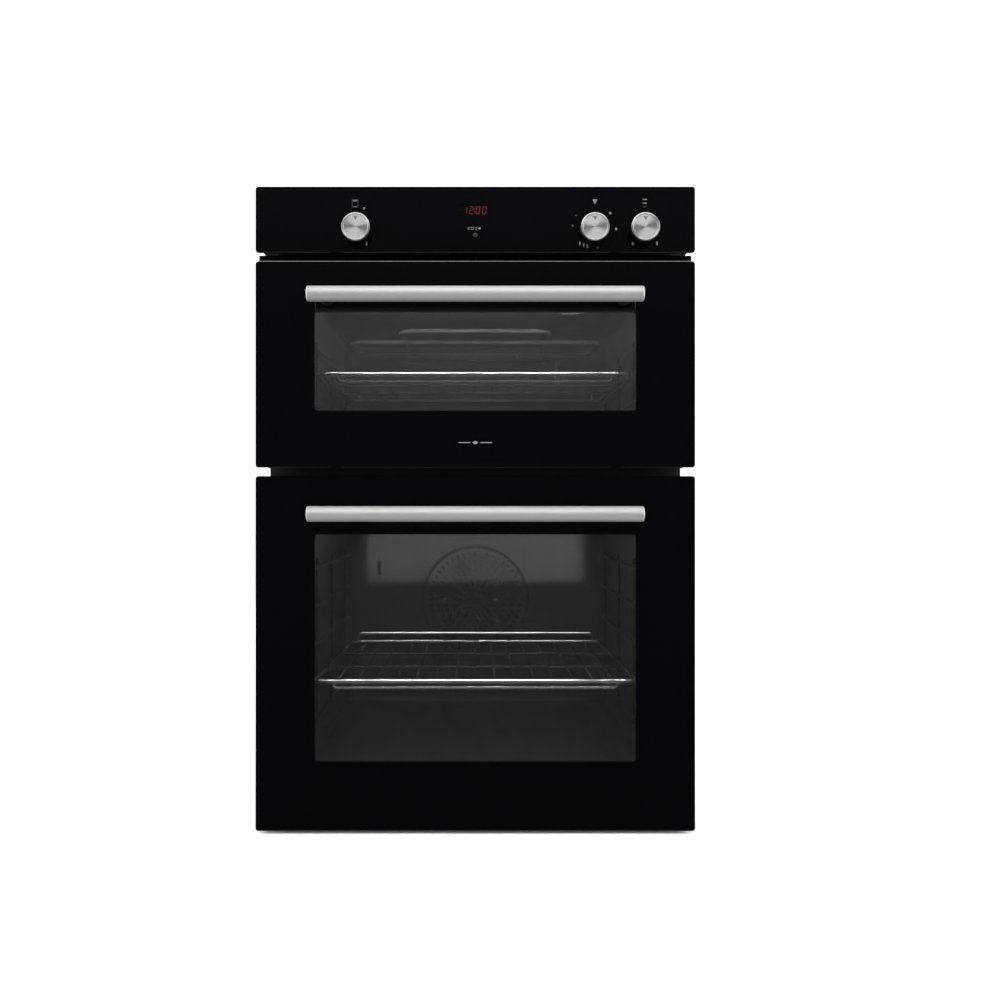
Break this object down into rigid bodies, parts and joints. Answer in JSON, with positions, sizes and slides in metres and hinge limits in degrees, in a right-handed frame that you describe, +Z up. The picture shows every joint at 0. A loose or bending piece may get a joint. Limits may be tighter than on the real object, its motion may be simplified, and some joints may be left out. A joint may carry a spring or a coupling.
{
  "type": "wall oven",
  "caption": "Built-in double wall oven with drop-down glass doors, bar handles, turning knobs and sliding wire shelves.",
  "frame": {"origin": "middle of the underside of the chassis", "axes": "+Z up, the doors face -Y, +X to the right as seen from the front"},
  "size_m": [0.595, 0.6502, 0.876],
  "materials": {
    "black_panel_glass": "gloss",
    "door_glass": "gloss",
    "clear_glass": "gloss",
    "black_sheet": "satin",
    "door_aluminium": "satin",
    "galvanised": "satin",
    "enamel": "gloss",
    "handle_metal": "satin",
    "knob_metal": "satin",
    "wire_chrome": "gloss",
    "steel": "satin",
    "element_tube": "matte",
    "black_plastic": "matte",
    "grey_plastic": "matte",
    "seal_rubber": "matte",
    "mineral_wool": "matte",
    "lamp_glass": "gloss",
    "ceramic_holder": "matte"
  },
  "bodies": {
    "chassis": {"base_pan": "galvanised", "blower_housing": "galvanised", "blower_motor": "steel", "chassis_screws": "steel", "control_glass": "black_panel_glass", "cooling_duct": "galvanised", "display_module": "black_plastic", "fan_cover": "enamel", "fan_motor": "steel", "front_frame": "black_sheet", "grill_element": "element_tube", "lamp_holders": "ceramic_holder", "lamp_lenses": "lamp_glass", "left_mounting_flange": "black_sheet", "left_side_panel": "galvanised", "left_switch": "grey_plastic", "lower_cavity": "enamel", "lower_gasket": "seal_rubber", "lower_hinge_brackets": "steel", "lower_insulation": "mineral_wool", "lower_sensor": "steel", "lower_side_racks": "wire_chrome", "middle_switch": "grey_plastic", "panel_carrier": "black_plastic", "rear_panel": "galvanised", "right_mounting_flange": "black_sheet", "right_side_panel": "galvanised", "right_switch": "grey_plastic", "ring_element": "element_tube", "terminal_block": "black_plastic", "top_cover": "galvanised", "upper_cavity": "enamel", "upper_gasket": "seal_rubber", "upper_hinge_brackets": "steel", "upper_insulation": "mineral_wool", "upper_sensor": "steel", "upper_side_racks": "wire_chrome", "vent_trim": "black_sheet"},
    "upper_door": {"upper_door_frame": "door_aluminium", "upper_handle_bar": "handle_metal", "upper_handle_posts": "black_plastic", "upper_hinge_arms": "steel", "upper_inner_glass": "clear_glass", "upper_outer_glass": "door_glass", "upper_top_trim": "black_sheet"},
    "lower_door": {"lower_door_frame": "door_aluminium", "lower_handle_bar": "handle_metal", "lower_handle_posts": "black_plastic", "lower_hinge_arms": "steel", "lower_inner_glass": "clear_glass", "lower_outer_glass": "door_glass", "lower_top_trim": "black_sheet"},
    "upper_shelf": {"upper_shelf": "wire_chrome"},
    "lower_shelf": {"lower_shelf": "wire_chrome"},
    "left_knob": {"left_knob": "knob_metal"},
    "middle_knob": {"middle_knob": "knob_metal"},
    "right_knob": {"right_knob": "knob_metal"},
    "timer_button": {"timer_button": "black_plastic"},
    "oven_fan": {"oven_fan": "steel"},
    "cooling_rotor": {"blower_rotor": "black_plastic"}
  },
  "joints": [
    {"name": "upper_door_hinge", "type": "hinge", "parent": "chassis", "child": "upper_door", "pos_m": [0, -0.299, 0.5218], "axis": [1, 0, 0], "range_deg": [0, 90], "stiffness_Nm_per_rad": 2, "springref_deg": -20.05},
    {"name": "lower_door_hinge", "type": "hinge", "parent": "chassis", "child": "lower_door", "pos_m": [0, -0.299, 0.03], "axis": [1, 0, 0], "range_deg": [0, 90], "stiffness_Nm_per_rad": 6, "springref_deg": -20.05},
    {"name": "upper_shelf_slide", "type": "slide", "parent": "chassis", "child": "upper_shelf", "axis": [0, -1, 0], "range_m": [0, 0.2043]},
    {"name": "lower_shelf_slide", "type": "slide", "parent": "chassis", "child": "lower_shelf", "axis": [0, -1, 0], "range_m": [0, 0.2357]},
    {"name": "left_knob_turn", "type": "hinge", "parent": "chassis", "child": "left_knob", "pos_m": [-0.1592, -0.314, 0.815], "axis": [0, 1, 0], "range_deg": [0, 270]},
    {"name": "middle_knob_turn", "type": "hinge", "parent": "chassis", "child": "middle_knob", "pos_m": [0.1592, -0.314, 0.815], "axis": [0, 1, 0], "continuous": true},
    {"name": "right_knob_turn", "type": "hinge", "parent": "chassis", "child": "right_knob", "pos_m": [0.2264, -0.314, 0.815], "axis": [0, 1, 0], "range_deg": [0, 270]},
    {"name": "timer_button_press", "type": "slide", "parent": "chassis", "child": "timer_button", "axis": [0, 1, 0], "range_m": [0, 0.0012], "stiffness_N_per_m": 800, "springref_m": -0.0006},
    {"name": "oven_fan_spin", "type": "hinge", "parent": "chassis", "child": "oven_fan", "pos_m": [0, 0.13, 0.272], "axis": [0, 1, 0], "continuous": true},
    {"name": "cooling_rotor_spin", "type": "hinge", "parent": "chassis", "child": "cooling_rotor", "pos_m": [0, 0.08, 0.805], "axis": [1, 0, 0], "continuous": true}
  ],
  "couplings": [
    {"joint": "upper_shelf_slide", "follows": "upper_door_hinge", "m_per_rad": 0.13},
    {"joint": "lower_shelf_slide", "follows": "lower_door_hinge", "m_per_rad": 0.15}
  ]
}
